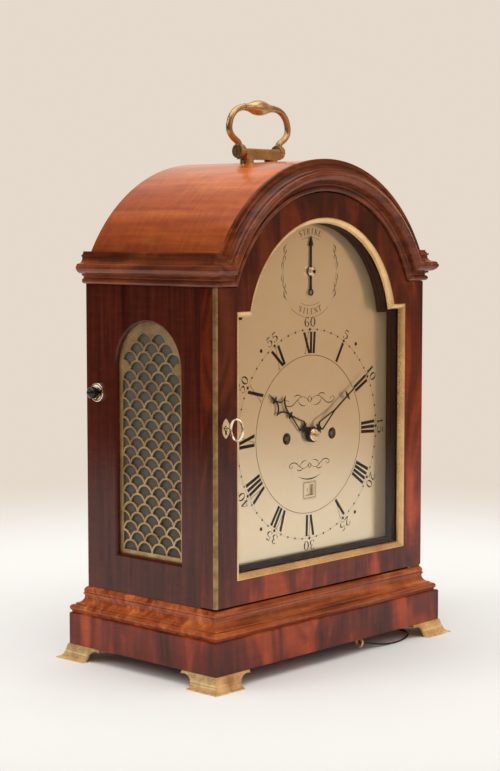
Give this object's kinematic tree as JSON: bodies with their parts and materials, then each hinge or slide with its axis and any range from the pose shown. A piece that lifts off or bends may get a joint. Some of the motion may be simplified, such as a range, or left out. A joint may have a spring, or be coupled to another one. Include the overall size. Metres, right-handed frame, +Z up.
{
  "type": "arched-top table clock",
  "caption": "Arched mahogany table clock with glazed doors, pierced side frets, silvered arched dial, brass carrying handle and a fusee movement inside.",
  "frame": {"origin": "floor level under the middle of the plinth", "axes": "+X to the clock's right as seen from the front, +Y to the back, +Z up; the dial faces -Y"},
  "size_m": [0.288, 0.179, 0.4449],
  "materials": {
    "mahogany_door": "french polished",
    "mahogany_side": "french polished, dark",
    "mahogany_roof": "french polished, lighter",
    "mahogany_moulding": "french polished",
    "dark_wood": "satin, dark",
    "inside_wood": "plain oak, unpolished",
    "case_brass": "polished, lacquered",
    "movement_brass": "satin",
    "bell_metal": "polished",
    "silvered_brass": "silvered, matt",
    "hand_steel": "blued, polished",
    "steel": "satin",
    "door_glass": "clear",
    "fret_cloth": "silk",
    "black_line": "braided",
    "ebony": "polished"
  },
  "bodies": {
    "case": {"plinth": "mahogany_door", "base_moulding": "mahogany_moulding", "case_floor": "inside_wood", "side_left": "mahogany_side", "side_right": "mahogany_side", "front_frame": "dark_wood", "dial_mask": "dark_wood", "fascia": "mahogany_moulding", "roof_shell": "mahogany_roof", "arch_moulding": "mahogany_moulding", "cornice_returns": "mahogany_moulding", "rear_frame": "mahogany_side", "seat_board": "inside_wood", "bracket_feet": "case_brass", "pivot_plates": "movement_brass", "fret_left": "case_brass", "fret_right": "case_brass", "fret_cloths": "fret_cloth", "handle_base": "case_brass", "handle_fixings": "case_brass", "repeat_ferrule": "case_brass", "base_ring": "case_brass", "floor_cord": "black_line", "dial_plate": "silvered_brass", "dial_feet": "movement_brass", "plate_front": "movement_brass", "plate_back": "movement_brass", "pillars": "movement_brass", "bell": "bell_metal"},
    "front_door": {"door_frame": "mahogany_door", "door_glass": "door_glass", "glass_bead": "dark_wood", "door_bezel": "case_brass", "door_corner_strip": "case_brass", "door_escutcheon": "case_brass", "door_lock": "movement_brass"},
    "bolt": {"lock_bolt": "steel"},
    "key": {"door_key": "case_brass"},
    "rear_door": {"rear_door_frame": "mahogany_side", "rear_door_glass": "door_glass"},
    "rear_knob": {"rear_door_knob": "case_brass"},
    "handle": {"handle_bail": "case_brass"},
    "repeat_pull": {"repeat_toggle": "ebony"},
    "minute_arbor": {"minute_hand": "hand_steel", "hand_collet": "case_brass", "centre_wheel": "movement_brass"},
    "hour_pipe": {"hour_hand": "hand_steel", "hour_wheel": "movement_brass"},
    "motion_wheel": {"minute_wheel": "movement_brass"},
    "going_fusee_arbor": {"going_fusee": "movement_brass"},
    "going_barrel_arbor": {"going_barrel": "movement_brass"},
    "strike_fusee_arbor": {"strike_fusee": "movement_brass"},
    "strike_barrel_arbor": {"strike_barrel": "movement_brass"},
    "third_arbor": {"third_wheel": "movement_brass"},
    "escape_arbor": {"escape_wheel": "movement_brass"},
    "calendar": {"date_disc": "silvered_brass"},
    "strike_lever": {"strike_hand": "hand_steel", "strike_collet": "case_brass"},
    "pallet_arbor": {"pendulum": "movement_brass"},
    "hammer_arbor": {"hammer": "steel"}
  },
  "joints": [
    {"name": "front_door_hinge", "type": "hinge", "parent": "case", "child": "front_door", "pos_m": [0.122, -0.06855, 0.1786], "axis": [0, 0, 1], "range_deg": [0, 110]},
    {"name": "key_turn", "type": "hinge", "parent": "front_door", "child": "key", "pos_m": [-0.114, -0.07055, 0.1941], "axis": [0, 1, 0], "range_deg": [0, 90]},
    {"name": "bolt_slide", "type": "slide", "parent": "front_door", "child": "bolt", "axis": [-1, 0, 0], "range_m": [0, 0.003]},
    {"name": "rear_door_hinge", "type": "hinge", "parent": "case", "child": "rear_door", "pos_m": [0.0869, 0.07015, 0.214], "axis": [0, 0, -1], "range_deg": [0, 110]},
    {"name": "rear_knob_turn", "type": "hinge", "parent": "rear_door", "child": "rear_knob", "pos_m": [-0.0824, 0.07215, 0.1888], "axis": [0, 1, 0], "range_deg": [0, 90]},
    {"name": "handle_swing", "type": "hinge", "parent": "case", "child": "handle", "pos_m": [0, 0.0008, 0.4038], "axis": [1, 0, 0], "range_deg": [-90, 90]},
    {"name": "repeat_pull_slide", "type": "slide", "parent": "case", "child": "repeat_pull", "axis": [-1, 0, 0], "range_m": [0, 0.02], "stiffness_N_per_m": 60, "springref_m": -0.01},
    {"name": "minute_turn", "type": "hinge", "parent": "case", "child": "minute_arbor", "pos_m": [0, -0.06055, 0.1789], "axis": [0, 1, 0], "continuous": true},
    {"name": "hour_turn", "type": "hinge", "parent": "case", "child": "hour_pipe", "pos_m": [0, -0.06055, 0.1789], "axis": [0, 1, 0], "continuous": true},
    {"name": "motion_turn", "type": "hinge", "parent": "case", "child": "motion_wheel", "pos_m": [0, -0.04555, 0.2029], "axis": [0, 1, 0], "continuous": true},
    {"name": "going_fusee_turn", "type": "hinge", "parent": "case", "child": "going_fusee_arbor", "pos_m": [0.0275, 0, 0.1775], "axis": [0, 1, 0], "continuous": true},
    {"name": "going_barrel_turn", "type": "hinge", "parent": "case", "child": "going_barrel_arbor", "pos_m": [0.036, 0, 0.1209], "axis": [0, 1, 0], "continuous": true},
    {"name": "third_turn", "type": "hinge", "parent": "case", "child": "third_arbor", "pos_m": [0.009, 0, 0.19862], "axis": [0, 1, 0], "continuous": true},
    {"name": "escape_turn", "type": "hinge", "parent": "case", "child": "escape_arbor", "pos_m": [0, 0, 0.21339], "axis": [0, 1, 0], "continuous": true},
    {"name": "strike_fusee_turn", "type": "hinge", "parent": "case", "child": "strike_fusee_arbor", "pos_m": [-0.0275, 0, 0.1775], "axis": [0, 1, 0], "continuous": true},
    {"name": "strike_barrel_turn", "type": "hinge", "parent": "case", "child": "strike_barrel_arbor", "pos_m": [-0.036, 0, 0.1209], "axis": [0, 1, 0], "continuous": true},
    {"name": "calendar_turn", "type": "hinge", "parent": "case", "child": "calendar", "pos_m": [0, -0.05, 0.1121], "axis": [0, 1, 0], "continuous": true},
    {"name": "strike_silent_turn", "type": "hinge", "parent": "case", "child": "strike_lever", "pos_m": [0, -0.055, 0.3085], "axis": [0, 1, 0], "range_deg": [0, 180]},
    {"name": "pendulum_swing", "type": "hinge", "parent": "case", "child": "pallet_arbor", "pos_m": [0, 0, 0.23139], "axis": [0, 1, 0], "range_deg": [-4, 4]},
    {"name": "hammer_lift", "type": "hinge", "parent": "case", "child": "hammer_arbor", "pos_m": [-0.04, 0, 0.2239], "axis": [0, 1, 0], "range_deg": [-12, 0], "stiffness_Nm_per_rad": 0.01, "springref_deg": 11.46}
  ],
  "couplings": [
    {"joint": "key_turn", "follows": "bolt_slide", "rad_per_m": 523.59},
    {"joint": "hour_turn", "follows": "minute_turn", "ratio": 0.083333},
    {"joint": "motion_turn", "follows": "minute_turn", "ratio": -0.33333},
    {"joint": "going_fusee_turn", "follows": "minute_turn", "ratio": -0.083333},
    {"joint": "going_barrel_turn", "follows": "minute_turn", "ratio": -0.054924},
    {"joint": "third_turn", "follows": "minute_turn", "ratio": -8},
    {"joint": "escape_turn", "follows": "minute_turn", "ratio": 60},
    {"joint": "strike_barrel_turn", "follows": "strike_fusee_turn", "ratio": 0.65909}
  ]
}
